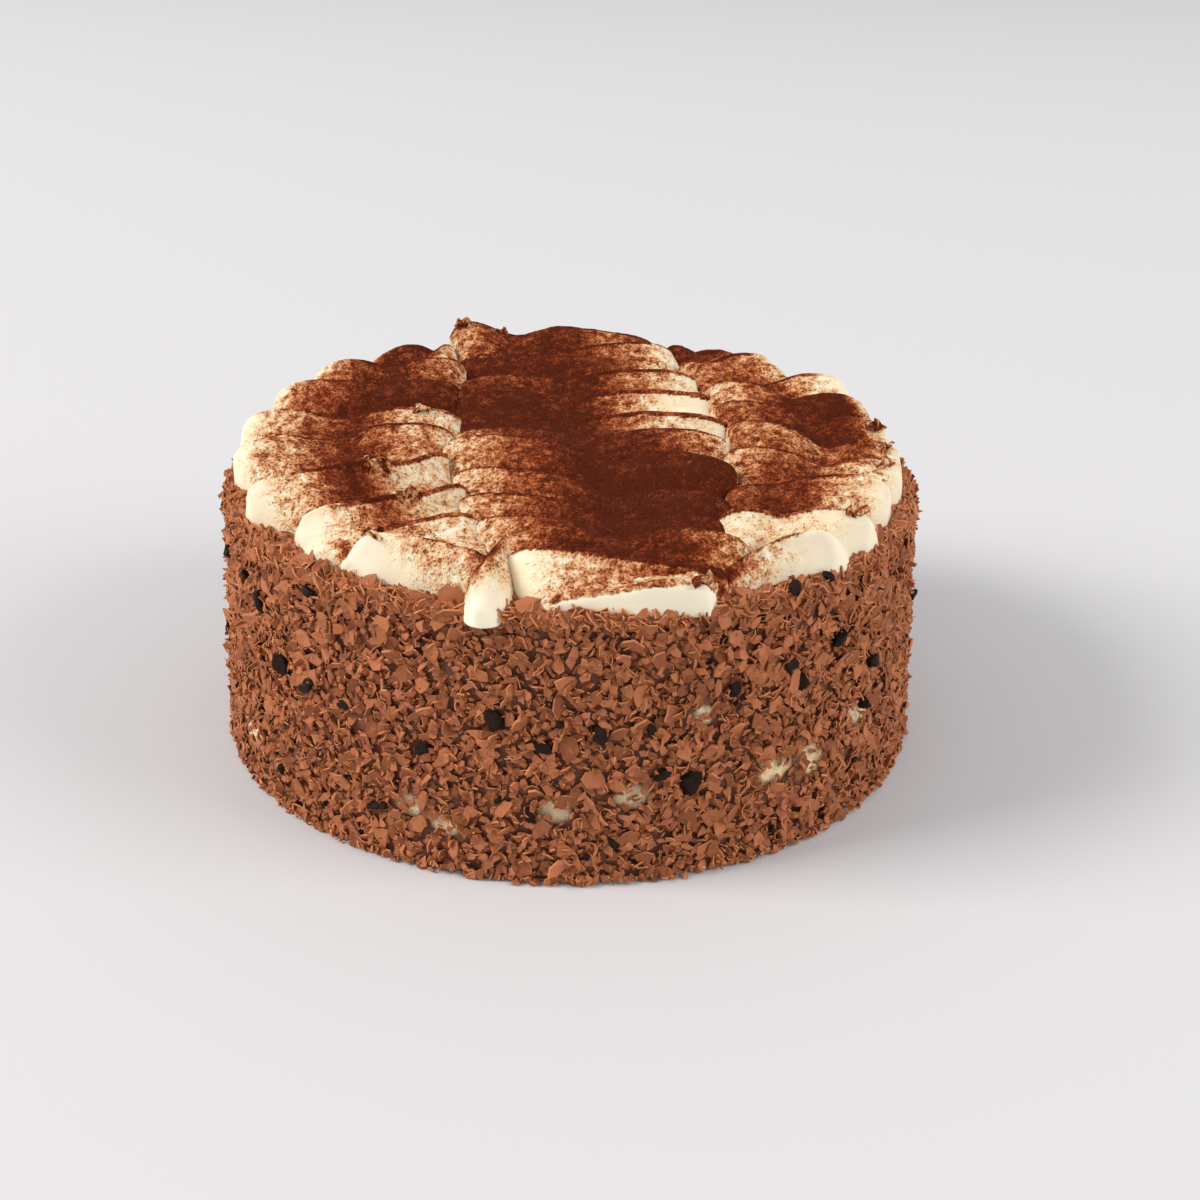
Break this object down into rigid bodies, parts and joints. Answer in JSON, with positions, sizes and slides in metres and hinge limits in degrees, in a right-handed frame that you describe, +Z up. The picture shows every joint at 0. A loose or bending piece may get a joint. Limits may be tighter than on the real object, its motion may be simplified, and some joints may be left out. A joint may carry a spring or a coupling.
{
  "type": "layer cake",
  "caption": "Round layer cake coated in milk chocolate flakes, topped with three piped bands of cream dusted with cocoa.",
  "frame": {"origin": "middle of the round underside", "axes": "+Z up, -Y towards the side the picture was taken from, the piped bands run along Y"},
  "size_m": [0.2004, 0.1985, 0.0923],
  "materials": {
    "chocolate_coat": "matte",
    "cream": "satin"
  },
  "bodies": {
    "root": {"cake_body": "chocolate_coat", "cream_band_left": "cream", "cream_band_middle": "cream", "cream_band_right": "cream"}
  },
  "joints": []
}
